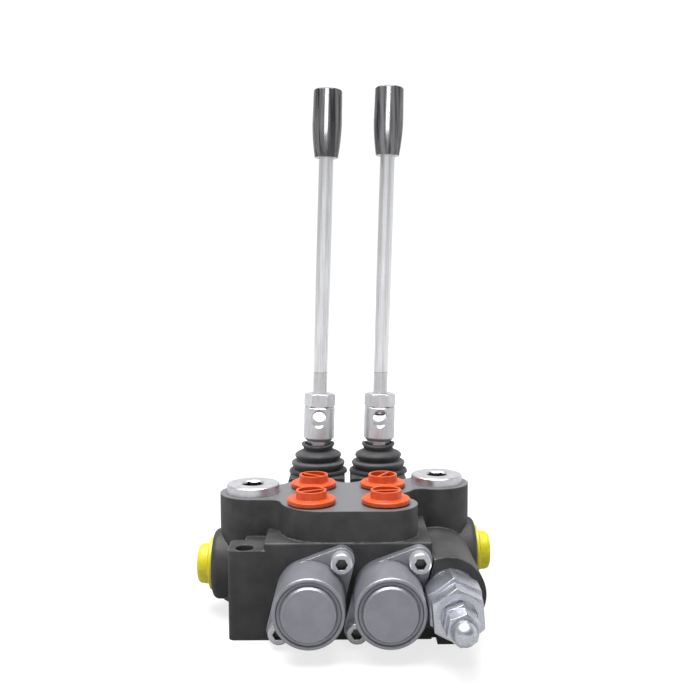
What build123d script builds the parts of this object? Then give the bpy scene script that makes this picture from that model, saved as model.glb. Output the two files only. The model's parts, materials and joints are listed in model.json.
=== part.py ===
"""Two-spool monoblock hydraulic directional valve with two hand levers.

Millimetres. +X is to the operator's right when facing the spring caps, +Y runs from
the spring caps to the levers, +Z is up. The origin lies on the mounting face, midway
between the two spools and below the front pair of work ports.
"""
from build123d import *
from math import acos, cos, degrees, radians, sin
import os

os.makedirs("parts", exist_ok=True)

# ---------------------------------------------------------------- driving dimensions
spool_pitch = 36.0
port_row_pitch = 33.5
spool_z = 23.5          # height of the spool axes above the mounting face
body_top = 61.5         # machined face of the ports
shoulder_z = 46.5       # top of the lower casting, under the raised port crown
foot_top = 43.0
front_y = -15.2         # machined face of the spring caps
rear_y = 80.0           # machined face of the lever boxes
core_left, core_right = -40.0, 39.0
foot_left = -57.0
foot_right = 57.0

spool_r = 8.0
running_gap = 0.06      # radial clearance of sliding and turning fits
groove_r = 10.5

tank_x, tank_y = -48.7, 24.4        # tank ports, left
pressure_x, pressure_y = 47.4, 43.6  # pressure ports, right
boss_r = 16.7
side_boss_r = 17.7
tank_face_x = -68.8
pressure_face_x = 67.4
side_port_z = spool_z + 0.6
work_port_r = 7.9
main_port_r = 9.8

mount_holes = [(-49.4, -10.3), (-49.4, 62.0), (48.5, 66.0)]
mount_hole_r = 4.5

relief_x, relief_z = 47.2, spool_z
relief_face_y = -21.0

cap_r = 16.2
cap_screw_dx, cap_screw_dz = 14.5, 16.3
cap_flange_y = front_y - 5.1
cap_end_y = -45.2

lever_y = 98.7
pivot_z = spool_z + 24.0
lever_lean = {"left": 1.85, "right": 1.75}  # degrees, sideways
box_width = 32.8
box_back_y = 116.5
box_bottom, box_top = 3.5, 55.0
box_screw_dx = 12.3
box_screw_dz = (13.0, -14.0)

sides = (("left", -spool_pitch / 2), ("right", spool_pitch / 2))

# spool grooves in the body, as (start, end) along Y
tank_front = (-5.4, -2.2)
work_front = (0.4, 6.4)
pressure_groove = (16.5, 22.5)
work_rear = (32.6, 38.6)
tank_rear = (41.2, 44.4)
supply_y = sum(pressure_groove) / 2


# --------------------------------------------------------------------------- helpers
def along_y(x, y, z):
    """Plane at a point whose normal points to +Y."""
    return Plane((x, y, z), x_dir=(1, 0, 0), z_dir=(0, 1, 0))


def facing_front(x, y, z):
    """Plane at a point whose normal points to -Y and whose Y axis points up."""
    return Plane((x, y, z), x_dir=(1, 0, 0), z_dir=(0, -1, 0))


def along_x(x, y, z):
    """Plane at a point whose normal points to +X."""
    return Plane((x, y, z), x_dir=(0, 1, 0), z_dir=(1, 0, 0))


def along_z(x, y, z):
    """Plane at a point whose normal points up."""
    return Plane((x, y, z))


def rod(plane, length, radius, mode=Mode.ADD):
    """Cylinder that starts on the plane and runs along its normal."""
    with BuildSketch(plane) as section:
        Circle(radius)
    extrude(section.sketch, amount=length, mode=mode)


def hex_rod(plane, length, across_flats, rotation=0, mode=Mode.ADD):
    """Hexagonal bar; rotation 0 puts two corners on the plane's X axis."""
    with BuildSketch(plane) as section:
        RegularPolygon(across_flats / 2, 6, major_radius=False, rotation=rotation)
    return extrude(section.sketch, amount=length, mode=mode)


def block(x, y, z, mode=Mode.ADD):
    """Box between the given (low, high) pairs."""
    with Locations((x[0], y[0], z[0])):
        Box(x[1] - x[0], y[1] - y[0], z[1] - z[0], align=(Align.MIN,) * 3, mode=mode)


def rectangle(x, y, corner_r=0):
    """Sketch rectangle between the given (low, high) pairs."""
    with Locations(((x[0] + x[1]) / 2, (y[0] + y[1]) / 2)):
        if corner_r:
            RectangleRounded(x[1] - x[0], y[1] - y[0], corner_r)
        else:
            Rectangle(x[1] - x[0], y[1] - y[0])


def turned(plane, outline, mode=Mode.ADD):
    """Solid of revolution about the plane's normal from (radius, height) points."""
    face = Plane(plane.origin, x_dir=plane.x_dir, z_dir=plane.x_dir.cross(plane.z_dir))
    with BuildSketch(face) as section:
        with BuildLine():
            Polyline(*outline, close=True)
        make_face()
    return revolve(section.sketch, axis=Axis(plane.origin, plane.z_dir), mode=mode)


def coil(plane, length, mean_r, wire_r, turns):
    """Helical compression spring whose wire stays between the two end planes."""
    climb = length - 2 * wire_r
    with BuildLine() as path:
        Helix(climb / turns, climb, mean_r, center=plane.offset(wire_r).origin,
              direction=plane.z_dir)
    start = path.line @ 0
    with BuildSketch(Plane(start, z_dir=path.line % 0)) as wire:
        Circle(wire_r)
    sweep(wire.sketch, path=path.line, is_frenet=True)


def socket_screw(plane, shank_r, length, head_r, head_height, key):
    """Socket-head screw: the plane is the underside of its head, normal to the tip."""
    turned(plane, [(0, -head_height), (head_r - 0.6, -head_height), (head_r, 0.6 - head_height),
                   (head_r, 0), (shank_r, 0), (shank_r, length - 0.5), (shank_r - 0.5, length),
                   (0, length)])
    hex_rod(plane.offset(-head_height), head_height * 0.6, key, mode=Mode.SUBTRACT)


def nut(plane, height, across_flats, bore_r, rotation=0):
    """Hexagon with chamfered corners on both ends and an optional bore."""
    corner_r, rim_r = across_flats * 0.58, across_flats * 0.48
    drop = (corner_r - rim_r) * 0.5
    bar = hex_rod(plane, height, across_flats, rotation, Mode.PRIVATE)
    envelope = turned(plane, [(0, 0), (rim_r, 0), (corner_r, drop), (corner_r, height - drop),
                              (rim_r, height), (0, height)], Mode.PRIVATE)
    add(bar & envelope)
    if bore_r:
        rod(plane, height, bore_r, Mode.SUBTRACT)


def countersink(plane, radius, size):
    """Conical mouth of a bore; the plane is its face, normal into the material."""
    turned(plane, [(0, 0), (radius + size, 0), (radius, size), (0, size)], Mode.SUBTRACT)


def cap_outline():
    """Outline of a spring cap's flange: a round middle and two diagonal screw ears."""
    Circle(cap_r)
    with Locations((cap_screw_dx, cap_screw_dz), (-cap_screw_dx, -cap_screw_dz)):
        Circle(6)
    make_hull()


def seal_ring(plane, height, outer_r):
    """Rod seal around a spool."""
    rod(plane, height, outer_r)
    rod(plane, height, spool_r + running_gap, Mode.SUBTRACT)


def faces_at(plane):
    """The faces of the piece being built that lie on a plane."""
    current = BuildPart._get_context()
    found = [f for f in current.part.faces()
             if f.geom_type == GeomType.PLANE
             and abs(plane.to_local_coords(f.center()).Z) < 1e-4
             and abs(abs(f.normal_at().dot(plane.z_dir)) - 1) < 1e-6]
    return ShapeList(found)


def save(piece, name):
    piece.part.label = name
    export_step(piece.part, f"parts/{name}.step")


# ------------------------------------------------------------------------ valve body
crown_front_y = -14.6
crown_corners = ((-12.5, 21.0), (18.8, 14.6))  # X and radius of its rounded front corners
crown_root_z = shoulder_z - 4
blend_r = 6.5           # fillets between the crown and the port bosses
face_edge_r = 3.0       # rounded edge of the side port bosses
relief_boss_r = 17.9
relief_boss_end_y = 33.0
thread_depth = 14.0     # work ports
main_thread_depth = 15.0

with BuildPart() as valve_body:
    # lower casting: core, two left feet, right rear foot
    block((core_left, core_right), (front_y, rear_y), (0, shoulder_z))
    fillet(valve_body.edges().filter_by(Axis.Z).group_by(Axis.Y)[0], 1)
    fillet(valve_body.edges().filter_by(Axis.Z).group_by(Axis.Y)[-1], 3)
    fillet(faces_at(along_z(0, 0, shoulder_z)).edges(), 0.9)
    with BuildSketch() as feet:
        rectangle((foot_left, -34), (front_y, 2), 3)
        rectangle((foot_left, -38), (50, 72), 6)
        rectangle((36, foot_right), (55, 75), 6)
        rectangle((-50.5, -38), (-5, 55))
        rectangle((36, 50), (34, 65))
    extrude(amount=foot_top)

    # raised crown with the work ports, joined to the two main port bosses
    with BuildSketch(Plane.XY.offset(crown_root_z)) as crown:
        rectangle((crown_corners[0][0], crown_corners[1][0]), (crown_front_y, -crown_front_y))
        for corner_x, corner_r in crown_corners:
            with Locations((corner_x, crown_front_y + corner_r)):
                Circle(corner_r)
        rectangle((-27, 27), (0, port_row_pitch))
        rectangle((-spool_pitch / 2, spool_pitch / 2), (19, 43))
        with Locations((-spool_pitch / 2, port_row_pitch), (spool_pitch / 2, port_row_pitch)):
            Circle(17)
        rectangle((-45, -27), (7.6, 27.3))
        rectangle((28, 46), (32, 50))
        with Locations((tank_x, tank_y), (pressure_x, pressure_y)):
            Circle(boss_r)
        offset(amount=blend_r)
        offset(amount=-blend_r)
    extrude(amount=body_top - crown_root_z)
    for port_x, port_y in ((tank_x, tank_y), (pressure_x, pressure_y)):
        rod(along_z(port_x, port_y, 8), body_top - 8, boss_r)

    # side port bosses and relief valve boss
    rod(along_x(-40, tank_y, side_port_z), tank_face_x + 40, side_boss_r)
    fillet(faces_at(along_x(tank_face_x, 0, 0)).edges(), face_edge_r)
    rod(along_x(36, pressure_y, side_port_z), pressure_face_x - 36, side_boss_r)
    fillet(faces_at(along_x(pressure_face_x, 0, 0)).edges(), face_edge_r)
    rod(along_y(relief_x - 1.5, relief_face_y, relief_z), relief_boss_end_y - relief_face_y,
        relief_boss_r)
    block((41, 55), (relief_face_y, 30), (0, spool_z))
    block((37, 42), (front_y, 30), (0.8, spool_z))
    # the relief boss gives way to the flange of the right spring cap
    with BuildSketch(facing_front(spool_pitch / 2, front_y, spool_z)) as pocket:
        cap_outline()
        offset(amount=0.8)
    extrude(amount=front_y - relief_face_y, mode=Mode.SUBTRACT)

    # spool bores and their ring grooves
    for side, x in sides:
        rod(along_y(x, front_y, spool_z), rear_y - front_y, spool_r + running_gap, Mode.SUBTRACT)
        for start, end in (tank_front, work_front, pressure_groove, work_rear, tank_rear):
            rod(along_y(x, start, spool_z), end - start, groove_r, Mode.SUBTRACT)
        rod(along_y(x, rear_y - 3.5, spool_z), 3.5, 11, Mode.SUBTRACT)
        # work ports, front and rear, each with a drilling to its groove
        for port_y, groove in ((0, work_front), (port_row_pitch, work_rear)):
            rod(along_z(x, port_y, body_top - thread_depth), thread_depth, work_port_r, Mode.SUBTRACT)
            mouth = Plane((x, port_y, body_top), z_dir=(0, 0, -1))
            countersink(mouth, work_port_r, 1.0)
            rod(along_z(x, sum(groove) / 2, spool_z), body_top - thread_depth - spool_z, 2.9,
                Mode.SUBTRACT)
        # tapped holes for the spring cap and the lever box
        for sign in (1, -1):
            screw_at = (x + sign * cap_screw_dx, spool_z + sign * cap_screw_dz)
            rod(along_y(screw_at[0], front_y, screw_at[1]), 12.5, 3.05, Mode.SUBTRACT)
        for sign, dz in zip((1, -1), box_screw_dz):
            rod(along_y(x + sign * box_screw_dx, rear_y - 11, spool_z + dz), 11, 2.55, Mode.SUBTRACT)

    # tank galleries across both spools, and the channel to the left tank chamber
    block((-43, 40), (-5.3, -2.3), (spool_z - 7, spool_z + 7), Mode.SUBTRACT)
    block((-43, 28), (41.3, 44.3), (spool_z - 7, spool_z + 7), Mode.SUBTRACT)
    block((-43, -37), (-5.3, 44.3), (spool_z - 6, spool_z + 6), Mode.SUBTRACT)

    # pressure gallery from the right chamber over the right spool to the check valve
    block((32.5, 42), (36, 42), (36, 41), Mode.SUBTRACT)
    block((32.5, 37.5), (16.5, 42), (36, 41), Mode.SUBTRACT)
    block((-3, 37.5), (16.5, 22.5), (36, 41), Mode.SUBTRACT)
    rod(along_z(0, supply_y, 21.5), 17, 3.5, Mode.SUBTRACT)
    rod(along_z(0, supply_y, 9), 12.5, 6.0, Mode.SUBTRACT)
    rod(along_z(0, supply_y, 0), 9, 6.6, Mode.SUBTRACT)
    rod(along_x(-14, supply_y, spool_z - 7), 28, 2.5, Mode.SUBTRACT)

    # main ports: top and side mouths meet in a chamber
    for port_x, port_y, face_x in ((tank_x, tank_y, tank_face_x),
                                   (pressure_x, pressure_y, pressure_face_x)):
        inward = main_thread_depth if face_x < 0 else -main_thread_depth
        top_thread_z = body_top - main_thread_depth
        rod(along_z(port_x, port_y, top_thread_z), main_thread_depth, main_port_r, Mode.SUBTRACT)
        rod(along_z(port_x, port_y, spool_z - 8), top_thread_z - spool_z + 8, 8, Mode.SUBTRACT)
        rod(along_x(face_x, port_y, side_port_z), inward, main_port_r, Mode.SUBTRACT)
        rod(along_x(face_x, port_y, side_port_z), port_x - face_x, 8, Mode.SUBTRACT)

    # stepped bore of the relief valve, from its boss into the pressure chamber
    rod(along_y(relief_x, relief_face_y, relief_z), 2, 11.2, Mode.SUBTRACT)
    rod(along_y(relief_x, relief_face_y, relief_z), 13, 9.0, Mode.SUBTRACT)
    rod(along_y(relief_x, relief_face_y, relief_z), 45, 8.1, Mode.SUBTRACT)
    rod(along_y(relief_x, 20, relief_z), 20, 4.0, Mode.SUBTRACT)

    for hole_x, hole_y in mount_holes:
        rod(along_z(hole_x, hole_y, 0), foot_top + 1, mount_hole_r, Mode.SUBTRACT)
save(valve_body, "valve_body")


# ------------------------------------------------------------ spring caps and screws
cap_length = front_y - cap_end_y
flange_thickness = front_y - cap_flange_y
seal_depth = 3.2
cap_inside_r = 13.0
cap_inside_end = 26.7

for side, x in sides:
    face = facing_front(x, front_y, spool_z)
    with BuildPart() as spring_cap:
        # diagonal two-screw flange
        with BuildSketch(face) as flange:
            cap_outline()
        extrude(amount=flange_thickness)
        # round cover with a rim, a shallow ring and a raised disc on its end
        turned(face, [(0, 0), (cap_r, 0), (cap_r, 27.8), (15.95, 28.4), (15.4, 28.7), (14.7, 28.6),
                      (14.0, 27.9), (12.8, 27.8), (12.6, 28.9), (11.9, cap_length), (0, cap_length)])
        rod(face.offset(flange_thickness - 0.1), cap_inside_end - flange_thickness + 0.1,
            cap_inside_r, Mode.SUBTRACT)
        rod(face, flange_thickness, spool_r + 0.3, Mode.SUBTRACT)
        rod(face, seal_depth, 11, Mode.SUBTRACT)
        for sign in (1, -1):
            screw_at = facing_front(x + sign * cap_screw_dx, front_y, spool_z + sign * cap_screw_dz)
            rod(screw_at, flange_thickness, 3.3, Mode.SUBTRACT)
    save(spring_cap, f"spring_cap_{side}")

with BuildPart() as cap_screws:
    for side, x in sides:
        for sign in (1, -1):
            under_head = along_y(x + sign * cap_screw_dx, cap_flange_y, spool_z + sign * cap_screw_dz)
            socket_screw(under_head, 3.0, 16, 5.0, 6.0, 5.0)
save(cap_screws, "cap_screws")

with BuildPart() as front_spool_seals:
    for side, x in sides:
        seal_ring(facing_front(x, front_y - 0.05, spool_z), seal_depth - 0.1, 10.9)
save(front_spool_seals, "front_spool_seals")

with BuildPart() as rear_spool_seals:
    for side, x in sides:
        seal_ring(facing_front(x, rear_y - 0.05, spool_z), 3.4, 10.9)
save(rear_spool_seals, "rear_spool_seals")


# ------------------------------------------------ spools and their centring springs
spool_start, spool_end = -30.0, 105.5
overlap = 0.5           # how far each land covers the edges of its port groove
neck_r = 5.0
eye_gap = 4.9           # half the slot that takes the lever's ball
plate_r, plate_thickness = 12.4, 2.0
plate_y = spool_start - plate_thickness

for side, x in sides:
    with BuildPart() as spool:
        lands = [(spool_start, -10.0), (work_front[0] - overlap, work_front[1] + overlap),
                 (work_rear[0] - overlap, work_rear[1] + overlap), (49.0, spool_end)]
        rod(along_y(x, spool_start, spool_z), spool_end - spool_start, neck_r)
        for start, end in lands:
            rod(along_y(x, start, spool_z), end - start, spool_r)
        ends = spool.faces().filter_by(Axis.Y).sort_by(Axis.Y)
        chamfer((ends[0].edges() + ends[-1].edges()), 0.5)
        rod(along_y(x, spool_start, spool_z), 14, 3.05, Mode.SUBTRACT)
        block((x - 5.2, x + 5.2), (lever_y - eye_gap, lever_y + eye_gap),
              (spool_z - 5.2, spool_z + 9), Mode.SUBTRACT)
    save(spool, f"spool_{side}")

    with BuildPart() as spring_plate:
        rod(along_y(x, plate_y, spool_z), plate_thickness, plate_r)
        rod(along_y(x, plate_y, spool_z), plate_thickness, 3.05, Mode.SUBTRACT)
    save(spring_plate, f"spring_plate_{side}")

    with BuildPart() as spool_bolt:
        socket_screw(along_y(x, plate_y, spool_z), 3.0, 13, 5.0, 3.5, 4.0)
    save(spool_bolt, f"spool_bolt_{side}")

    with BuildPart() as rear_spring:
        spring_length = cap_flange_y - spool_start - 0.2
        coil(along_y(x, spool_start + 0.1, spool_z), spring_length, 10.9, 0.75, 2)
    save(rear_spring, f"centring_spring_rear_{side}")

    with BuildPart() as front_spring:
        spring_start = front_y - cap_inside_end + 0.1
        coil(along_y(x, spring_start, spool_z), plate_y - 0.1 - spring_start, 9.6, 0.75, 2)
    save(front_spring, f"centring_spring_front_{side}")


# -------------------------------------------------------------------- lever boxes
cavity_half = 8.6
pin_r = 3.0

for side, x in sides:
    with BuildPart() as lever_box:
        block((x - box_width / 2, x + box_width / 2), (rear_y, box_back_y), (box_bottom, box_top))
        fillet(lever_box.edges().filter_by(Axis.Z).group_by(Axis.Y)[-1], 5)
        fillet(lever_box.faces().sort_by(Axis.Z)[-1].edges().filter_by(Axis.Y), 2)
        fillet(lever_box.faces().sort_by(Axis.Z)[0].edges().filter_by(Axis.Y), 3)
        rod(along_z(x, lever_y, box_top), 2.4, 13.9)
        block((x - cavity_half, x + cavity_half), (rear_y, box_back_y - 4), (14, 42), Mode.SUBTRACT)
        block((x - cavity_half, x + cavity_half), (rear_y + 3, box_back_y - 4), (42, 50.5),
              Mode.SUBTRACT)
        block((x - cavity_half, x + cavity_half), (lever_y - 10.5, lever_y + 10.5),
              (50, box_top + 3), Mode.SUBTRACT)
        rod(along_x(x - box_width / 2, lever_y, pivot_z), box_width, pin_r + 0.02, Mode.SUBTRACT)
        for sign, dz in zip((1, -1), box_screw_dz):
            rod(along_y(x + sign * box_screw_dx, rear_y, spool_z + dz), box_back_y - rear_y,
                2.75, Mode.SUBTRACT)
    save(lever_box, f"lever_box_{side}")

    with BuildPart() as pivot_pin:
        rod(along_x(x - box_width / 2 + 0.4, lever_y, pivot_z), box_width - 0.8, pin_r)
        chamfer(pivot_pin.faces().filter_by(Axis.X).edges(), 0.4)
    save(pivot_pin, f"lever_pivot_pin_{side}")

    # bellows: radius and height above the box, outside then inside
    outside = [(17.3, 0), (17.3, 2.6), (16.4, 3.1), (13.6, 3.4), (14.2, 4.2), (15.6, 5.9),
               (15.8, 6.8), (15.0, 7.6), (12.2, 8.6), (12.6, 9.6), (13.7, 10.6), (13.8, 11.6),
               (12.6, 12.6), (9.7, 14.0), (9.4, 15.0), (9.9, 16.4), (9.9, 17.3), (9.3, 18.0)]
    inside = [(8.1, 18.0), (8.0, 13.4), (10.6, 9.8), (10.8, 8.2), (12.2, 4.8), (12.4, 2.8),
              (14.7, 2.6), (14.7, 0)]
    with BuildPart() as boot:
        turned(along_z(x + 0.5, lever_y, box_top), outside + inside)
    save(boot, f"boot_{side}")

with BuildPart() as lever_box_screws:
    for side, x in sides:
        for sign, dz in zip((1, -1), box_screw_dz):
            under_head = facing_front(x + sign * box_screw_dx, box_back_y, spool_z + dz)
            socket_screw(under_head, 2.5, box_back_y - rear_y + 9, 4.25, 5.0, 4.0)
save(lever_box_screws, "lever_box_screws")


# ------------------------------------------------------------------------- levers
# heights along the leaning lever, from the pivot
socket_low, socket_high = 26.6, 46.9
cross_hole_at, cross_hole_r = 40.5, 4.2
nut_height = 8.0
rod_r = 4.25
rod_low = {"left": 43.8, "right": 41.5}
knob_span = {"left": (193.1, 233.0), "right": (194.4, 234.3)}
knob_edge_r = 7.5       # where the domed top of the knob begins
dome_r = 25.0
dome_angle = degrees(acos(knob_edge_r / dome_r))

for side, x in sides:
    across, upward = sin(radians(lever_lean[side])), cos(radians(lever_lean[side]))
    lean = Plane((x, lever_y, pivot_z), x_dir=(upward, 0, -across), z_dir=(across, 0, upward))
    knob_low, knob_high = knob_span[side]
    with BuildPart() as lever_arm:
        rod(along_x(x - cavity_half + 0.3, lever_y, pivot_z), 2 * cavity_half - 0.6, 6.5)
        rod(along_z(x, lever_y, spool_z + 11), 13, 5)
        rod(along_z(x, lever_y, spool_z), 12, 2.6)
        with Locations((x, lever_y, spool_z)):
            Sphere(4.6)
        rod(lean, 18, 6)
        hex_rod(lean.offset(15), socket_low - 15, 12)
        rod(lean.offset(socket_low - 1), 7.4, 4.0)
        rod(along_x(x - cavity_half, lever_y, pivot_z), 2 * cavity_half,
            pin_r + running_gap, Mode.SUBTRACT)
    save(lever_arm, f"lever_arm_{side}")

    with BuildPart() as lever_socket:
        turned(lean, [(0, socket_low), (7.4, socket_low), (9.15, socket_low + 1.9),
                      (9.15, socket_high - 0.5), (8.65, socket_high), (0, socket_high)])
        rod(lean.offset(socket_low), 6.8, 4.05, Mode.SUBTRACT)
        rod(lean.offset(cross_hole_at), socket_high - cross_hole_at, rod_r + 0.05, Mode.SUBTRACT)
        cross = lean.offset(cross_hole_at).origin
        rod(along_y(cross.X, lever_y - 12, cross.Z), 24, cross_hole_r, Mode.SUBTRACT)
        for sign in (1, -1):
            mouth = Plane((cross.X, lever_y + sign * 12, cross.Z), x_dir=(1, 0, 0),
                          z_dir=(0, -sign, 0))
            turned(mouth, [(0, 0), (8.3, 0), (cross_hole_r, 4.1), (0, 4.1)], Mode.SUBTRACT)
    save(lever_socket, f"lever_socket_{side}")

    with BuildPart() as lever_lock_nut:
        nut(lean.offset(socket_high), nut_height, 16, rod_r + 0.05)
    save(lever_lock_nut, f"lever_lock_nut_{side}")

    with BuildPart() as lever_rod:
        rod(lean.offset(rod_low[side]), knob_low + 14 - rod_low[side], rod_r)
        chamfer(lever_rod.faces().sort_by(Axis.Z)[0].edges(), 1.4)
    save(lever_rod, f"lever_rod_{side}")

    with BuildPart() as lever_knob:
        with BuildSketch(Plane(lean.origin, x_dir=lean.x_dir, z_dir=(0, -1, 0))) as profile:
            with BuildLine():
                low = Line((0, knob_low), (6.8, knob_low))
                taper = ThreePointArc(low @ 1, (8.0, knob_low + 9), (8.6, knob_low + 19))
                grip = Line(taper @ 1, (8.3, knob_high - 2.2))
                crown_arc = CenterArc((0, knob_high - dome_r), dome_r, dome_angle, 90 - dome_angle)
                ThreePointArc(grip @ 1, (8.05, knob_high - 1.5), crown_arc @ 0)
                Line(crown_arc @ 1, low @ 0)
            make_face()
        revolve(axis=Axis(lean.origin, lean.z_dir))
        rod(lean.offset(knob_low - 0.1), 15.1, rod_r + 0.05, Mode.SUBTRACT)
    save(lever_knob, f"lever_knob_{side}")


# --------------------------------------------------------- plugs and shipping caps
collar_r, collar_height = 13.4, 4.3
socket_depth = 11.0

for name, port_x, port_y in (("tank_port_plug", tank_x, tank_y),
                             ("pressure_port_plug", pressure_x, pressure_y)):
    face = along_z(port_x, port_y, body_top)
    with BuildPart() as port_plug:
        turned(face, [(0, -14), (8.9, -14), (9.7, -13.2), (9.7, 0), (collar_r, 0),
                      (collar_r, collar_height - 0.4), (collar_r - 0.4, collar_height),
                      (0, collar_height)])
        hex_rod(face.offset(collar_height - socket_depth), socket_depth, 10, mode=Mode.SUBTRACT)
        turned(face.offset(collar_height), [(0, 0), (6.0, 0), (5.2, -0.7), (0, -0.7)], Mode.SUBTRACT)
        turned(face, [(10.4, 0), (12.7, 0), (12.7, 1.2), (10.4, 1.2)], Mode.SUBTRACT)
    save(port_plug, name)

with BuildPart() as plug_seals:
    for port_x, port_y in ((tank_x, tank_y), (pressure_x, pressure_y)):
        turned(along_z(port_x, port_y, body_top), [(10.5, 0), (12.6, 0), (12.6, 1.15), (10.5, 1.15)])
save(plug_seals, "plug_seals")

web_angles = {("front", "left"): 25, ("front", "right"): 5, ("rear", "left"): -35, ("rear", "right"): 60}
for (row, side), web_angle in web_angles.items():
    port_x = dict(sides)[side]
    port_y = 0 if row == "front" else port_row_pitch
    face = along_z(port_x, port_y, body_top)
    with BuildPart() as work_port_cap:
        turned(face, [(0, -8), (7.0, -8), (7.6, -7.2), (7.6, -0.4), (8.8, 0), (8.8, 0.4),
                      (11.3, 0.4), (11.7, 0.8), (11.7, 2.4), (11.3, 2.8), (8.0, 2.8),
                      (7.7, 3.2), (7.4, 6.7), (0, 6.7)])
        turned(face, [(0, -6.5), (5.8, -6.5), (6.3, 6.7), (0, 6.7)], Mode.SUBTRACT)
        with BuildSketch(face.offset(-7)) as web:
            Rectangle(12.6, 1.3, rotation=web_angle)
        extrude(amount=13.4)
    save(work_port_cap, f"work_port_cap_{row}_{side}")

side_cap_height = 8.0

for name, face_x, port_y, outward in (("tank_side_cap", tank_face_x, tank_y, -1),
                                      ("pressure_side_cap", pressure_face_x, pressure_y, 1)):
    face = Plane((face_x, port_y, side_port_z), x_dir=(0, 1, 0), z_dir=(outward, 0, 0))
    with BuildPart() as side_cap:
        turned(face, [(0, -9), (9.0, -9), (9.5, -8), (9.5, 0), (13.2, 0), (13.2, 1.5), (10.4, 2.6),
                      (9.7, side_cap_height), (0, side_cap_height)])
        fillet(faces_at(face.offset(side_cap_height)).edges(), 2.4)
        rod(face.offset(-9), 14, 7.6, Mode.SUBTRACT)
    save(side_cap, name)


# ------------------------------------------------------------------- relief valve
# heights (_h) run towards the front, from the face of the relief boss
relief_face = facing_front(relief_x, relief_face_y, relief_z)
housing_bore_r, seat_r = 5.6, 2.6
seat_h = -37.0
nose_h = -44.9
poppet_back_h = -29.0
pusher_h = -3.0
counterbore_h = 5.0
housing_end_h = 17.2
hex_turn = 34.5         # how the housing and its spring cap happen to be tightened
nut_turn = 21.5
screw_r, screw_hole_r = 4.0, 4.15
spring_cap_h, spring_cap_end_h = 17.5, 26.9
lock_nut_h, cap_nut_h, cap_nut_hex_end_h = 26.1, 31.7, 41.2
dome_start_h, cap_nut_r = 44.0, 5.2

with BuildPart() as relief_housing:
    rod(relief_face, 2.4, 12.6)
    nut(relief_face.offset(2.2), housing_end_h - 2.2, 24, 0, rotation=hex_turn)
    turned(relief_face, [(0, nose_h), (7.4, nose_h), (8.0, nose_h + 1), (8.0, -20), (6.9, -20),
                         (6.9, -12.8), (8.9, -12.8), (8.9, 0), (0, 0)])
    rod(relief_face.offset(seat_h), housing_end_h - seat_h, housing_bore_r, Mode.SUBTRACT)
    rod(relief_face.offset(counterbore_h), housing_end_h - counterbore_h, 7.2, Mode.SUBTRACT)
    rod(relief_face.offset(nose_h), seat_h - nose_h, seat_r, Mode.SUBTRACT)
    window_y = relief_face_y + 17.2
    rod(along_x(relief_x - 9, window_y, relief_z), 18, 1.8, Mode.SUBTRACT)
    rod(along_z(relief_x, window_y, relief_z - 9), 18, 1.8, Mode.SUBTRACT)
save(relief_housing, "relief_housing")

with BuildPart() as relief_seal:
    turned(relief_face, [(9.1, -1.95), (11.1, -1.95), (11.1, -0.03), (9.1, -0.03)])
save(relief_seal, "relief_seal")

with BuildPart() as relief_spring_cap:
    nut(relief_face.offset(spring_cap_h), spring_cap_end_h - spring_cap_h, 22, 0, rotation=hex_turn)
    stem_h = counterbore_h + 0.5
    rod(relief_face.offset(stem_h), spring_cap_h - stem_h + 0.1, 7.1)
    rod(relief_face.offset(stem_h), spring_cap_end_h - stem_h, screw_hole_r, Mode.SUBTRACT)
    rod(relief_face.offset(lock_nut_h - 0.1), 1, 8.0, Mode.SUBTRACT)
save(relief_spring_cap, "relief_spring_cap")

with BuildPart() as relief_lock_nut:
    nut(relief_face.offset(lock_nut_h), 5.4, 13, screw_hole_r, rotation=nut_turn)
save(relief_lock_nut, "relief_lock_nut")

with BuildPart() as relief_cap_nut:
    rod(relief_face.offset(cap_nut_h), 1.5, 6.3)
    nut(relief_face.offset(cap_nut_h + 1.4), cap_nut_hex_end_h - cap_nut_h - 1.4, 13, 0, nut_turn - 1.5)
    with BuildSketch(Plane(relief_face.origin, x_dir=(1, 0, 0), z_dir=(0, 0, -1))) as dome:
        with BuildLine():
            foot = Line((0, cap_nut_hex_end_h - 1), (cap_nut_r, cap_nut_hex_end_h - 1))
            Line(foot @ 1, (cap_nut_r, dome_start_h))
            round_end = CenterArc((0, dome_start_h), cap_nut_r, 0, 90)
            Line(round_end @ 1, foot @ 0)
        make_face()
    revolve(axis=Axis(relief_face.origin, relief_face.z_dir))
    rod(relief_face.offset(cap_nut_h), 11, screw_hole_r, Mode.SUBTRACT)
save(relief_cap_nut, "relief_cap_nut")

with BuildPart() as relief_adjusting_screw:
    rod(relief_face.offset(pusher_h), 2, housing_bore_r - 0.2)
    rod(relief_face.offset(pusher_h + 2), 41, screw_r)
save(relief_adjusting_screw, "relief_adjusting_screw")

with BuildPart() as relief_spring:
    coil(relief_face.offset(poppet_back_h + 0.1), pusher_h - poppet_back_h - 0.2, 4.2, 0.75, 7)
save(relief_spring, "relief_spring")

with BuildPart() as relief_poppet:
    turned(relief_face, [(0, poppet_back_h), (housing_bore_r - 0.3, poppet_back_h),
                         (housing_bore_r - 0.3, -33), (4.2, -33), (4.2, -35), (2.45, seat_h),
                         (0.8, -38.9), (0, -38.9)])
save(relief_poppet, "relief_poppet")


# -------------------------------------------------------------- load check valve
check_axis = along_z(0, supply_y, 0)

with BuildPart() as check_poppet:
    turned(check_axis, [(0, 13.5), (2.4, 13.5), (2.4, 16.5), (4.9, 16.5), (4.9, 19.8),
                        (3.35, 21.45), (2.2, 22.6), (0, 22.6)])
save(check_poppet, "check_poppet")

with BuildPart() as check_spring:
    coil(check_axis.offset(9.1), 7.3, 3.9, 0.5, 3)
save(check_spring, "check_spring")

with BuildPart() as check_plug:
    rod(check_axis.offset(0.4), 8.6, 6.5)
    hex_rod(check_axis.offset(0.4), 4.5, 6, mode=Mode.SUBTRACT)
save(check_plug, "check_plug")
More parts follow.
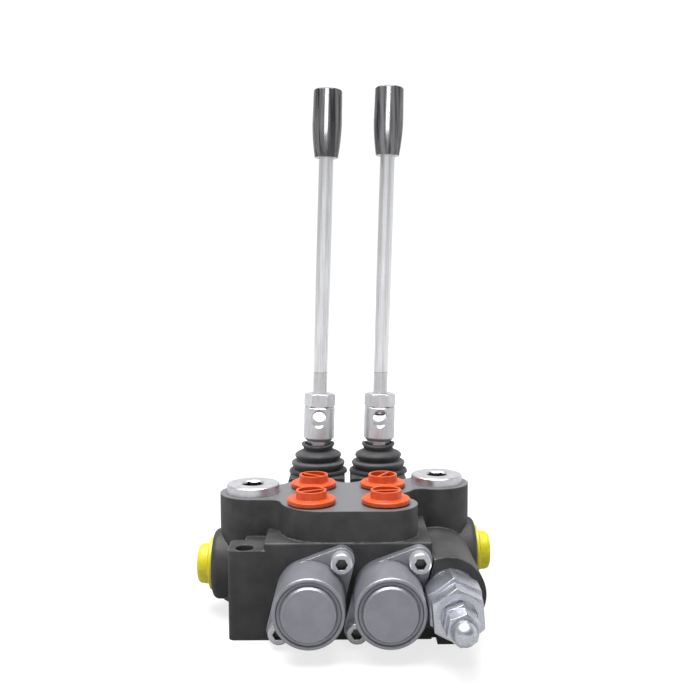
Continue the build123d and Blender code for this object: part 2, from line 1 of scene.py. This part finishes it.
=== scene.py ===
"""Looks of a two-spool monoblock valve with two hand levers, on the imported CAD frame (metres)."""
import json
import math
import bpy
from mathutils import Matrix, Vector


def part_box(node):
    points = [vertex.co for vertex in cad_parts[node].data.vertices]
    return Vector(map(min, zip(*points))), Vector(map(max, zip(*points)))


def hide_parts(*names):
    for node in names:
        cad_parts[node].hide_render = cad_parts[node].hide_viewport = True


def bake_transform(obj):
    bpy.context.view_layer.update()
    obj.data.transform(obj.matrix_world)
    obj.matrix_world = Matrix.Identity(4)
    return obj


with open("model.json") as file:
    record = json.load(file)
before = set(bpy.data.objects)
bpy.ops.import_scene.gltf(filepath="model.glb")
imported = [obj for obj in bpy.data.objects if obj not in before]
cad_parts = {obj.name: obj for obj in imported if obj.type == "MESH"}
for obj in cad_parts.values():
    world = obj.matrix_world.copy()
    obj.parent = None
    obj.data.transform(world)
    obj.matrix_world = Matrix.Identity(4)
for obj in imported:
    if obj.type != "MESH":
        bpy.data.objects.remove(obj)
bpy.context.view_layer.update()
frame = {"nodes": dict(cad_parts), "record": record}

nodes = frame["nodes"]
record = frame["record"]
scene = bpy.context.scene
MM = 0.001


# ------------------------------------------------------------------ material building
class Surface:
    """A Principled material built from nodes, with positions read in the part's own frame."""

    def __init__(self, name, metallic=0.0, ior=1.5, **shader_values):
        self.material = bpy.data.materials.new(name)
        self.material.use_nodes = True
        self.tree = self.material.node_tree
        self.tree.nodes.clear()
        self.shader = self.node("ShaderNodeBsdfPrincipled")
        output = self.node("ShaderNodeOutputMaterial")
        self.tree.links.new(self.shader.outputs["BSDF"], output.inputs["Surface"])
        self.shader.inputs["Metallic"].default_value = metallic
        self.shader.inputs["IOR"].default_value = ior
        for socket, value in shader_values.items():
            title = socket.replace("_", " ").title().replace("Ior", "IOR")
            self.shader.inputs[title].default_value = value
        self.position = self.node("ShaderNodeTexCoord").outputs["Object"]
        self.normal = None

    def node(self, kind, **settings):
        made = self.tree.nodes.new(kind)
        for key, value in settings.items():
            setattr(made, key, value)
        return made

    def feed(self, socket, value):
        if isinstance(value, bpy.types.NodeSocket):
            self.tree.links.new(value, socket)
        elif isinstance(value, (tuple, list)) and len(value) == 3 and socket.type == "RGBA":
            socket.default_value = (*value, 1)
        else:
            socket.default_value = value

    def math(self, operation, a, b=0.0, clamp=False):
        made = self.node("ShaderNodeMath", operation=operation, use_clamp=clamp)
        self.feed(made.inputs[0], a)
        self.feed(made.inputs[1], b)
        return made.outputs[0]

    def vector(self, operation, a, b=(0, 0, 0), output=0):
        made = self.node("ShaderNodeVectorMath", operation=operation)
        self.feed(made.inputs[0], a)
        self.feed(made.inputs[1], b)
        return made.outputs[output]

    def axis(self, letter, source=None):
        split = self.node("ShaderNodeSeparateXYZ")
        self.feed(split.inputs[0], source or self.position)
        return split.outputs["XYZ".index(letter)]

    def fit(self, value, low, high, out_low=0.0, out_high=1.0):
        made = self.node("ShaderNodeMapRange", clamp=True)
        for socket, number in zip(made.inputs, (value, low, high, out_low, out_high)):
            self.feed(socket, number)
        return made.outputs[0]

    def noise(self, grain, detail=2.0, stretch=(1, 1, 1), distortion=0.0, shift=0.0):
        """Noise whose lumps are about `grain` metres across, drawn out along an axis by `stretch`."""
        squeezed = self.vector("DIVIDE", self.position, stretch)
        moved = self.vector("ADD", squeezed, (shift, shift, shift))
        made = self.node("ShaderNodeTexNoise")
        self.feed(made.inputs["Vector"], moved)
        made.inputs["Scale"].default_value = 1 / grain
        made.inputs["Detail"].default_value = detail
        made.inputs["Distortion"].default_value = distortion
        return made.outputs["Fac"]

    def mix(self, share, a, b):
        made = self.node("ShaderNodeMix", data_type="RGBA", clamp_factor=True)
        self.feed(made.inputs["Factor"], share)
        self.feed(made.inputs["A"], a)
        self.feed(made.inputs["B"], b)
        return made.outputs["Result"]

    def mix_number(self, share, a, b):
        made = self.node("ShaderNodeMix", data_type="FLOAT", clamp_factor=True)
        for socket, number in zip(made.inputs, (share, None, a, b)):
            if number is not None:
                self.feed(socket, number)
        return made.outputs[0]

    def bump(self, height, depth, strength=1.0):
        made = self.node("ShaderNodeBump")
        made.inputs["Strength"].default_value = strength
        made.inputs["Distance"].default_value = depth
        self.feed(made.inputs["Height"], height)
        if self.normal:
            self.feed(made.inputs["Normal"], self.normal)
        self.normal = made.outputs["Normal"]

    def round_edges(self, radius):
        """Softens the edges in the shading and returns a mask that is 1 along them."""
        made = self.node("ShaderNodeBevel", samples=6)
        made.inputs["Radius"].default_value = radius
        self.normal = made.outputs["Normal"]
        flat = self.node("ShaderNodeNewGeometry").outputs["Normal"]
        agreement = self.vector("DOT_PRODUCT", made.outputs["Normal"], flat, output=1)
        return self.fit(agreement, 0.995, 0.86)

    def unshaded_share(self, reach):
        """1 on open faces, falling to 0 inside sockets and grooves narrower than `reach`: the mask
        for painted shade in those hollows.
        """
        made = self.node("ShaderNodeAmbientOcclusion", samples=12, only_local=True)
        made.inputs["Distance"].default_value = reach
        return self.fit(made.outputs["AO"], 0.25, 0.8)

    def finish(self, colour, roughness):
        self.feed(self.shader.inputs["Base Color"], colour)
        self.feed(self.shader.inputs["Roughness"], roughness)
        if self.normal:
            self.tree.links.new(self.normal, self.shader.inputs["Normal"])
        return self.material


def cast_paint(name, machined_above=None):
    """Charcoal paint over sand-cast iron, with the machined port face showing smoother."""
    s = Surface(name, specular_ior_level=0.45)
    edge = s.round_edges(0.9 * MM)
    grains = s.noise(0.9 * MM, 3)
    lumps = s.noise(7 * MM, 2)
    patches = s.noise(11 * MM, 4)
    paint = s.mix(s.fit(patches, 0.3, 0.7), (0.029, 0.029, 0.030), (0.060, 0.060, 0.061))
    # painted shade: the paint is darkened towards the bottom, standing in for light that falls off
    # downward
    paint = s.mix(s.fit(s.axis("Z"), 8 * MM, 52 * MM, 0.45, 0.0), paint, (0.012, 0.012, 0.012))
    specks = s.fit(s.noise(0.55 * MM, 2, shift=3.0), 0.66, 0.78)
    paint = s.mix(s.math("MULTIPLY", specks, 0.4), paint, (0.12, 0.12, 0.125))
    # painted highlight and wear: the edges are lightened in patches, partly as rubbed paint and
    # partly as a highlight along them
    wear_and_edge_highlight = s.math("MULTIPLY", edge, s.fit(s.noise(4 * MM, 4, shift=7.0), 0.42, 0.62, 0.15, 1.0))
    colour = s.mix(wear_and_edge_highlight, paint, (0.27, 0.27, 0.275))
    roughness = s.fit(grains, 0.25, 0.75, 0.46, 0.62)
    height = s.math("ADD", s.math("MULTIPLY", grains, 0.6), lumps)
    if machined_above is not None:
        machined = s.fit(s.axis("Z"), machined_above - 0.05 * MM, machined_above + 0.05 * MM)
        passes = s.noise(0.35 * MM, 2, stretch=(60, 1, 1), shift=1.0)
        bare = s.mix(s.fit(passes, 0.3, 0.7), (0.110, 0.109, 0.118), (0.145, 0.143, 0.154))
        colour = s.mix(machined, colour, bare)
        roughness = s.mix_number(machined, roughness, s.fit(passes, 0.3, 0.7, 0.3, 0.42))
        height = s.math("MULTIPLY", height, s.math("SUBTRACT", 1.0, machined))
    s.bump(height, 0.3 * MM, 0.6)
    return s.finish(colour, roughness)


def die_cast(name):
    """Bare die-cast aluminium: fine matt grain, with a painted highlight along its edges and painted
    shade in its narrow hollows.
    """
    s = Surface(name, metallic=0.85, specular_ior_level=0.4)
    edge = s.round_edges(0.35 * MM)
    grain = s.noise(0.45 * MM, 3)
    flow = s.noise(9 * MM, 3, stretch=(1, 2.4, 1), distortion=0.6)
    base = s.mix(s.fit(flow, 0.3, 0.7), (0.29, 0.292, 0.33), (0.36, 0.363, 0.405))
    base = s.mix(s.fit(grain, 0.35, 0.7, 0.0, 0.35), base, (0.44, 0.445, 0.475))
    # painted highlight: the edges are lightened towards near white
    colour = s.mix(s.math("MULTIPLY", edge, 0.85), base, (0.84, 0.84, 0.86))
    # painted shade: narrow hollows are darkened towards near black
    colour = s.mix(s.unshaded_share(2.2 * MM), (0.05, 0.05, 0.053), colour)
    s.bump(s.math("ADD", grain, s.math("MULTIPLY", flow, 0.5)), 0.05 * MM, 0.6)
    return s.finish(colour, s.fit(grain, 0.25, 0.75, 0.42, 0.56))


def plated(name, dark, light, rough, stretch, grain=0.25 * MM, depth=0.012 * MM, metallic=1.0):
    """Zinc-plated steel with drawn or turned marks along `stretch`."""
    s = Surface(name, metallic=metallic)
    edge = s.round_edges(0.3 * MM)
    marks = s.noise(grain, 2, stretch=stretch)
    cloud = s.noise(4 * MM, 3, distortion=0.8)
    base = s.mix(s.fit(marks, 0.28, 0.72), dark, light)
    base = s.mix(s.fit(cloud, 0.45, 0.8, 0.0, 0.3), base, tuple(0.86 * c for c in dark))
    # painted highlight: the edges are lightened towards near white
    colour = s.mix(s.math("MULTIPLY", edge, 0.8), base, (0.95, 0.95, 0.96))
    # painted shade: sockets and grooves are darkened towards black
    colour = s.mix(s.unshaded_share(5 * MM), (0.03, 0.03, 0.033), colour)
    s.bump(marks, depth, 0.6)
    return s.finish(colour, s.fit(cloud, 0.3, 0.7, rough, rough + 0.1))


def drawn_rod(name, node, nut):
    """Zinc-plated lever rod with drawing lines along it and a rolled thread above its lock nut."""
    s = Surface(name, metallic=1.0)
    lines = s.noise(0.45 * MM, 2, stretch=(1, 1, 160))
    cloud = s.noise(5 * MM, 2, stretch=(1, 1, 3))
    base = s.mix(s.fit(lines, 0.3, 0.7), (0.58, 0.585, 0.60), (0.84, 0.845, 0.86))
    base = s.mix(s.fit(cloud, 0.5, 0.8, 0.0, 0.25), base, (0.58, 0.585, 0.60))
    thread_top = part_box(nut)[1].z + THREAD_SHOWN
    height = s.axis("Z")
    threaded = s.fit(height, thread_top, thread_top - 0.3 * MM)
    turns = s.math("SINE", s.math("MULTIPLY", height, 2 * math.pi / THREAD_PITCH))
    runout = s.math("MULTIPLY", threaded, s.fit(height, thread_top - 0.9 * MM, thread_top - 0.4 * MM))
    # painted shade: the thread's grooves are darkened in the colour, following its turns
    colour = s.mix(s.math("MULTIPLY", threaded, s.fit(turns, -1, 0.4, 0.28, 0.08)), base,
                   (0.45, 0.455, 0.47))
    # painted shade: a dark band where the thread runs out
    colour = s.mix(s.math("MULTIPLY", runout, 0.6), colour, (0.33, 0.335, 0.35))
    s.bump(s.math("MULTIPLY", turns, threaded), 0.06 * MM, 0.5)
    s.bump(lines, 0.01 * MM, 0.5)
    return s.finish(colour, s.fit(cloud, 0.3, 0.7, 0.26, 0.34))


def turned_plug(name, node):
    """Plated steel turned about the plug's upright axis: rings spread from its centre."""
    low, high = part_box(node)
    s = Surface(name, metallic=1.0)
    edge = s.round_edges(0.12 * MM)
    out = s.vector("SUBTRACT", s.position, tuple((low + high) / 2))
    flat = s.vector("MULTIPLY", out, (1.0, 1.0, 0.0))
    radius = s.vector("LENGTH", flat, output=1)
    rings = s.math("SINE", s.math("MULTIPLY", radius, 2 * math.pi / TURNING_PITCH))
    cloud = s.noise(3.5 * MM, 3, distortion=0.6)
    base = s.mix(s.fit(s.math("ADD", s.math("MULTIPLY", rings, 0.12), cloud), 0.3, 0.7),
                 (0.70, 0.70, 0.73), (0.86, 0.86, 0.89))
    # painted highlight: the edges are lightened towards near white
    colour = s.mix(s.math("MULTIPLY", edge, 0.5), base, (0.9, 0.9, 0.91))
    # painted shade: the hex socket and other hollows are darkened towards black
    colour = s.mix(s.unshaded_share(14 * MM), (0.02, 0.02, 0.022), colour)
    s.bump(rings, 0.006 * MM, 0.5)
    return s.finish(colour, s.fit(cloud, 0.3, 0.7, 0.3, 0.38))


def plastic(name, deep, light, rough, subsurface, radius, **values):
    """Injection-moulded plastic: faint mould texture, with a painted highlight along its edges."""
    s = Surface(name, **values)
    s.shader.inputs["Subsurface Weight"].default_value = subsurface
    s.shader.inputs["Subsurface Radius"].default_value = radius
    s.shader.inputs["Subsurface Scale"].default_value = 1.0
    edge = s.round_edges(0.3 * MM)
    texture = s.noise(0.5 * MM, 3)
    cloud = s.noise(5 * MM, 2, distortion=0.5)
    base = s.mix(s.fit(cloud, 0.3, 0.7), deep, light)
    # painted highlight: the edges are lightened towards a paler tint
    colour = s.mix(s.math("MULTIPLY", edge, 0.4), base, tuple(min(1, c * 1.35 + 0.06) for c in light))
    s.bump(s.math("ADD", s.math("MULTIPLY", texture, 0.5), cloud), 0.05 * MM, 0.35)
    return s.finish(colour, s.fit(texture, 0.3, 0.7, rough, rough + 0.12))


def moulded_rubber(name, deep, light, rough, foot=None):
    """Matt rubber. A boot that stands at the height `foot` has lighter low folds and painted shade
    along its hem.
    """
    s = Surface(name, ior=1.5, specular_ior_level=0.25, sheen_weight=0.2, sheen_roughness=0.5)
    texture = s.noise(0.4 * MM, 4)
    dust = s.noise(6 * MM, 4, distortion=0.5)
    colour = s.mix(s.fit(dust, 0.42, 0.75), deep, light)
    if foot is not None:
        height = s.axis("Z")
        # the low folds are made lighter in colour
        lighter_low_folds = s.mix(dust, light, tuple(1.7 * c for c in light))
        colour = s.mix(s.fit(height, foot + 9 * MM, foot + 6 * MM, 0, 0.8), colour, lighter_low_folds)
        # painted shade: the hem where the boot meets the box below is darkened
        hem_shade = s.fit(height, foot + 2.8 * MM, foot + 1.8 * MM)
        colour = s.mix(hem_shade, colour, tuple(0.4 * c for c in deep))
    s.bump(texture, 0.04 * MM, 0.5)
    return s.finish(colour, s.fit(texture, 0.3, 0.7, rough, rough + 0.14))


def gloss_black(name):
    """Glossy black knob plastic with faint ripples up its sides, painted as reflection streaks in its
    colour, a plain top and a painted highlight along its edges.
    """
    s = Surface(name, ior=1.45, coat_weight=0.25, coat_roughness=0.05)
    edge = s.round_edges(0.4 * MM)
    ripple_and_reflection_streaks = s.noise(2.4 * MM, 2, stretch=(1, 1, 30))
    cloud = s.noise(4 * MM, 3)
    # painted reflection: streaks of lighter and darker black up the sides stand in for reflections
    colour = s.mix(s.fit(ripple_and_reflection_streaks, 0.40, 0.62), (0.006, 0.006, 0.007), (0.055, 0.054, 0.058))
    own_normal = s.node("ShaderNodeTexCoord").outputs["Normal"]
    top = s.fit(s.axis("Z", own_normal), 0.45, 0.8)
    colour = s.mix(top, colour, s.mix(cloud, (0.016, 0.016, 0.017), (0.026, 0.026, 0.028)))
    # painted highlight: the edges are lightened
    colour = s.mix(s.math("MULTIPLY", edge, 0.3), colour, (0.1, 0.1, 0.1))
    s.bump(s.math("MULTIPLY", ripple_and_reflection_streaks, s.math("SUBTRACT", 1.0, top)), 0.05 * MM, 0.3)
    return s.finish(colour, s.fit(cloud, 0.3, 0.7, 0.16, 0.22))


THREAD_SHOWN, THREAD_PITCH = 12.6 * MM, 1.25 * MM  # above each lock nut
TURNING_PITCH = 0.28 * MM
zinc_dark, zinc_light = (0.58, 0.585, 0.61), (0.70, 0.705, 0.73)
relief_dark, relief_light = (0.58, 0.595, 0.65), (0.76, 0.775, 0.84)
BOOT_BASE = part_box("boot_left")[0].z
finishes = {
    "body_paint": cast_paint("cast_paint"),
    "cast_aluminium": die_cast("die_cast_aluminium"),
    "zinc_steel": plated("zinc_plate", zinc_dark, zinc_light, 0.3, (1, 1, 6), grain=0.8 * MM,
                         depth=0.003 * MM, metallic=0.72),
    "chrome_steel": plated("zinc_plate_relief", relief_dark, relief_light, 0.32, (1, 5, 1),
                           grain=0.8 * MM, depth=0.006 * MM),
    "turned_steel": plated("turned_steel", zinc_dark, zinc_light, 0.26, (8, 8, 1), grain=0.5 * MM),
    "spool_steel": plated("ground_steel", (0.5, 0.5, 0.52), (0.62, 0.62, 0.64), 0.12, (1, 1, 1)),
    "spring_wire": plated("spring_wire", (0.14, 0.14, 0.15), (0.24, 0.24, 0.26), 0.3, (1, 1, 1)),
    "knob_plastic": gloss_black("knob_black"),
    "orange_plastic": plastic("orange_cap", (0.53, 0.058, 0.003), (0.65, 0.085, 0.006), 0.34, 0.25,
                              (0.0015, 0.0005, 0.0002), sheen_weight=0.12, sheen_roughness=0.3),
    "yellow_plastic": plastic("yellow_cap", (0.60, 0.52, 0.008), (0.74, 0.67, 0.02), 0.34, 0.5,
                              (0.003, 0.0028, 0.0008)),
    "boot_rubber": moulded_rubber("boot_rubber", (0.046, 0.046, 0.049), (0.074, 0.073, 0.077), 0.5,
                                  BOOT_BASE),
    "seal_rubber": moulded_rubber("seal_rubber", (0.016, 0.016, 0.016), (0.03, 0.03, 0.03), 0.4),
}
port_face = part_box("valve_body")[1].z
special = {
    "valve_body": cast_paint("cast_paint_body", port_face - 0.25 * MM),
    "lever_rod_left": drawn_rod("rod_left", "lever_rod_left", "lever_lock_nut_left"),
    "lever_rod_right": drawn_rod("rod_right", "lever_rod_right", "lever_lock_nut_right"),
    "tank_port_plug": turned_plug("plug_left", "tank_port_plug"),
    "pressure_port_plug": turned_plug("plug_right", "pressure_port_plug"),
}
slot_of = {p["node"]: p["material_slot"] for p in record["subparts"]}
for name, node in nodes.items():
    material = special.get(name) or finishes[slot_of[name]]
    if not node.material_slots:
        node.data.materials.append(material)
    for holder in node.material_slots:
        holder.material = material


# --------------------------------------------------------------------- new pieces
def mesh_piece(name, vertices, faces, material):
    mesh = bpy.data.meshes.new(name)
    mesh.from_pydata([tuple(v) for v in vertices], [], faces)
    mesh.materials.append(material)
    for polygon in mesh.polygons:
        polygon.use_smooth = True
    mesh.update()
    piece = bpy.data.objects.new(name, mesh)
    scene.collection.objects.link(piece)
    return piece


def smooth_line(points, steps):
    """Closed Catmull-Rom line through (radius, height) points."""
    count = len(points)
    line = []
    for i in range(count):
        p = [Vector(points[(i + k - 1) % count]) for k in range(4)]
        for step in range(steps):
            t = step / steps
            line.append(0.5 * (2 * p[1] + (p[2] - p[0]) * t
                               + (2 * p[0] - 5 * p[1] + 4 * p[2] - p[3]) * t ** 2
                               + (3 * p[1] - p[0] - 3 * p[2] + p[3]) * t ** 3))
    return line


def bellows(name, centre, outline, around=96):
    """Turns a closed (radius, height) outline, in mm, about a vertical axis."""
    line = smooth_line(outline, 4)
    ring = len(line)
    vertices = []
    for k in range(around):
        angle = 2 * math.pi * k / around
        saddle = LIP_DIP * math.sin(angle) ** 2
        for radius, height in line:
            height -= saddle * min(1.0, max(0.0, (height - LIP_ROOT) / (LIP_TOP - LIP_ROOT)))
            vertices.append(centre + Vector((radius * math.cos(angle), radius * math.sin(angle),
                                             height)) * MM)
    faces = [(k * ring + j, ((k + 1) % around) * ring + j,
              ((k + 1) % around) * ring + (j + 1) % ring, k * ring + (j + 1) % ring)
             for k in range(around) for j in range(ring)]
    return mesh_piece(name, vertices, faces, finishes["boot_rubber"])


BOOT_OUTLINE = [
    (17.2, 0.1), (17.25, 1.0), (16.9, 1.7), (15.9, 2.1), (14.2, 2.3), (13.7, 2.7), (14.4, 3.3),
    (15.4, 4.3), (15.8, 5.4), (15.75, 6.2), (15.1, 6.8), (13.3, 7.1), (12.2, 7.3), (12.0, 7.7),
    (12.6, 8.3), (13.5, 9.3), (13.8, 10.2), (13.6, 11.0), (12.6, 11.9), (10.8, 12.8), (9.3, 13.5),
    (8.75, 14.2), (8.9, 15.2), (9.6, 16.2), (9.85, 17.0), (9.55, 17.7), (8.9, 17.95), (8.3, 17.6),
    (7.9, 16.6), (7.6, 15.2), (7.6, 13.6), (9.4, 12.2), (11.6, 10.9), (11.5, 9.9), (10.4, 8.4),
    (10.3, 7.0), (12.4, 5.9), (12.6, 4.8), (12.0, 3.4), (12.0, 1.9), (14.8, 1.2), (14.9, 0.1)]
LIP_ROOT, LIP_TOP = 12.5, 16.0
LIP_DIP = 1.3  # how much lower the lip lies at the front and back than at the sides, mm

for side in ("left", "right"):
    low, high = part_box("boot_" + side)
    middle = (low + high) / 2
    foot = Vector((middle.x, middle.y, BOOT_BASE))
    boot = bellows("bellows_" + side, foot, BOOT_OUTLINE)
    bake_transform(boot)
    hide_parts("boot_" + side)


WIRE_SIDES, STEPS_PER_TURN = 10, 28
CLOSED_SHARE = 0.056  # share of the coil that lies flat at each end


def spring(name, node, axis, turns):
    """Closed-end coil that stands for a CAD spring and fills the CAD spring's length."""
    low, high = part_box(node)
    middle = (low + high) / 2
    along = Vector((axis == "X", axis == "Y", axis == "Z"))
    across = Vector((0, 0, 1)) if axis == "Y" else Vector((1, 0, 0))
    third = along.cross(across)
    length = (high - low).dot(along)
    outer = max((high - low).dot(across), (high - low).dot(third)) / 2
    wire = 0.5 * MM if node == "check_spring" else 0.75 * MM
    mean = outer - wire
    start = middle - along * (length / 2)
    steps = int(turns * STEPS_PER_TURN)
    climb = length - 2 * wire
    vertices = []
    for i in range(steps + 1):
        share = i / steps
        rise = min(1.0, max(0.0, (share - CLOSED_SHARE) / (1 - 2 * CLOSED_SHARE)))
        angle = 2 * math.pi * turns * share
        outward = across * math.cos(angle) + third * math.sin(angle)
        point = start + outward * mean + along * (wire + climb * rise)
        for j in range(WIRE_SIDES):
            turn = 2 * math.pi * j / WIRE_SIDES
            vertices.append(point + (outward * math.cos(turn) + along * math.sin(turn)) * wire)
    faces = [(i * WIRE_SIDES + j, i * WIRE_SIDES + (j + 1) % WIRE_SIDES,
              (i + 1) * WIRE_SIDES + (j + 1) % WIRE_SIDES, (i + 1) * WIRE_SIDES + j)
             for i in range(steps) for j in range(WIRE_SIDES)]
    faces.append(tuple(range(WIRE_SIDES)))
    faces.append(tuple(steps * WIRE_SIDES + j for j in reversed(range(WIRE_SIDES))))
    piece = mesh_piece(name, vertices, faces, finishes["spring_wire"])
    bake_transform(piece)
    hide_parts(node)


for side in ("left", "right"):
    for end in ("rear", "front"):
        name = f"centring_spring_{end}_{side}"
        low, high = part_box(name)
        spring(f"centring_coil_{end}_{side}", name, "Y", 2.5)
low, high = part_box("relief_spring")
spring("relief_coil", "relief_spring", "Y", 7)
low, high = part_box("check_spring")
spring("check_coil", "check_spring", "Z", 3)


# ------------------------------------------------------------------ stage and camera
def stage_material():
    s = Surface("pale_floor", specular_ior_level=0.1)
    colour = s.mix(s.noise(0.2, 3), (0.26, 0.26, 0.262), (0.29, 0.29, 0.292))
    s.shader.inputs["Emission Color"].default_value = (1, 1, 1, 1)
    away = s.vector("LENGTH", s.position, output=1)
    seen = s.node("ShaderNodeLightPath").outputs["Is Camera Ray"]
    glow = s.mix_number(seen, s.fit(away, 0.3, 0.9, 0.10, 1.0), s.fit(away, 0.2, 0.6, 0.76, 1.05))
    s.feed(s.shader.inputs["Emission Strength"], glow)
    return s.finish(colour, 0.8)


bpy.ops.mesh.primitive_plane_add(size=40, location=(0, 0, -0.0002))
floor = bpy.context.object
floor.name = "floor"
floor.data.materials.append(stage_material())

world = bpy.data.worlds.new("studio")
scene.world = world
world.use_nodes = True
tree = world.node_tree
tree.nodes.clear()


def sky_node(kind, **settings):
    made = tree.nodes.new(kind)
    for key, value in settings.items():
        setattr(made, key, value)
    return made


def ramp(stops, interpolation="LINEAR"):
    made = sky_node("ShaderNodeValToRGB")
    made.color_ramp.interpolation = interpolation
    while len(made.color_ramp.elements) > 1:
        made.color_ramp.elements.remove(made.color_ramp.elements[-1])
    for index, (place, level) in enumerate(stops):
        element = made.color_ramp.elements[0] if index == 0 else made.color_ramp.elements.new(place)
        element.position = place
        element.color = (level, level, level, 1)
    return made


direction = sky_node("ShaderNodeTexCoord").outputs["Generated"]
split = sky_node("ShaderNodeSeparateXYZ")
tree.links.new(direction, split.inputs[0])
# level by height: behind the valve a tall white wall, in front only a low bright band
wall_ramp = ramp([(0.0, 1.0), (0.38, 1.0), (0.6, 0.35), (1.0, 0.3)])
front_ramp = ramp([(0.0, 1.1), (0.14, 1.0), (0.26, 0.28), (0.7, 0.15), (1.0, 0.3)])
for height_ramp in (wall_ramp, front_ramp):
    tree.links.new(split.outputs["Z"], height_ramp.inputs["Fac"])
turn_back = sky_node("ShaderNodeMapRange", interpolation_type="SMOOTHSTEP")
turn_back.inputs["From Min"].default_value = -0.25
turn_back.inputs["From Max"].default_value = 0.35
tree.links.new(split.outputs["Y"], turn_back.inputs["Value"])
by_height = sky_node("ShaderNodeMix", data_type="RGBA")
tree.links.new(turn_back.outputs["Result"], by_height.inputs["Factor"])
tree.links.new(front_ramp.outputs["Color"], by_height.inputs["A"])
tree.links.new(wall_ramp.outputs["Color"], by_height.inputs["B"])
# level by compass direction, as the photo studio's panels would give
around = sky_node("ShaderNodeTexGradient", gradient_type="RADIAL")
tree.links.new(direction, around.inputs["Vector"])
panel_ramp = ramp([(0.0, 0.68), (0.10, 0.72), (0.14, 1.1), (0.28, 1.1), (0.32, 0.58), (0.42, 0.6),
                   (0.46, 0.92), (0.62, 0.9), (0.70, 0.8), (0.80, 0.8), (0.9, 0.66), (1.0, 0.68)])
tree.links.new(around.outputs["Fac"], panel_ramp.inputs["Fac"])
shade = sky_node("ShaderNodeMix", data_type="RGBA", blend_type="MULTIPLY")
shade.inputs["Factor"].default_value = 1.0
tree.links.new(by_height.outputs["Result"], shade.inputs["A"])
tree.links.new(panel_ramp.outputs["Color"], shade.inputs["B"])
lighting = sky_node("ShaderNodeBackground")
tree.links.new(shade.outputs["Result"], lighting.inputs["Color"])
backdrop = sky_node("ShaderNodeBackground")
backdrop.inputs["Color"].default_value = (1, 1, 1, 1)
backdrop.inputs["Strength"].default_value = 1.05
rays = sky_node("ShaderNodeLightPath")
choose = sky_node("ShaderNodeMixShader")
tree.links.new(rays.outputs["Is Camera Ray"], choose.inputs["Fac"])
tree.links.new(lighting.outputs["Background"], choose.inputs[1])
tree.links.new(backdrop.outputs["Background"], choose.inputs[2])
world_out = sky_node("ShaderNodeOutputWorld")
tree.links.new(choose.outputs["Shader"], world_out.inputs["Surface"])


def softbox(name, place, target, width, height, radiance, only=()):
    light = bpy.data.lights.new(name, "AREA")
    light.shape = "RECTANGLE"
    light.size, light.size_y = width, height
    light.energy = radiance * math.pi * width * height
    lamp = bpy.data.objects.new(name, light)
    scene.collection.objects.link(lamp)
    lamp.location = place
    lamp.rotation_mode = "QUATERNION"
    lamp.rotation_quaternion = (Vector(target) - Vector(place)).to_track_quat("-Z", "Y")
    if only:
        receivers = bpy.data.collections.new(name + "_receivers")
        for node in only:
            receivers.objects.link(nodes[node])
        lamp.light_linking.receiver_collection = receivers
    return lamp


softbox("overhead", (-0.1, 0.0, 1.1), (0, 0.03, 0), 1.0, 1.0, 9.0)
softbox("knob_strip", (-0.17, -1.2, 0.80), (-0.01, 0.1, 0.55), 0.62, 1.0, 30.0,
        only=("lever_knob_left", "lever_knob_right"))

CAMERA_PLACE = (-0.0029135, -0.4009819, 0.16756)
PITCH_DOWN, YAW_RIGHT, ROLL = math.radians(4.522), math.radians(0.536), math.radians(-0.163)
FOCAL_PER_WIDTH = 843.46 / 700
camera_data = bpy.data.cameras.new("camera")
camera_data.sensor_width = 36
camera_data.lens = 36 * FOCAL_PER_WIDTH
camera_data.clip_start, camera_data.clip_end = 0.01, 60
camera = bpy.data.objects.new("camera", camera_data)
scene.collection.objects.link(camera)
forward = Vector((math.sin(YAW_RIGHT) * math.cos(PITCH_DOWN),
                  math.cos(YAW_RIGHT) * math.cos(PITCH_DOWN), -math.sin(PITCH_DOWN)))
right = Vector((math.cos(YAW_RIGHT), -math.sin(YAW_RIGHT), 0))
up = right.cross(forward)
right, up = (math.cos(ROLL) * right + math.sin(ROLL) * up,
             -math.sin(ROLL) * right + math.cos(ROLL) * up)
placed = camera.matrix_world.copy()
for row in range(3):
    placed[row][0], placed[row][1], placed[row][2] = right[row], up[row], -forward[row]
    placed[row][3] = CAMERA_PLACE[row]
camera.matrix_world = placed
scene.camera = camera
scene.view_settings.view_transform = "Standard"
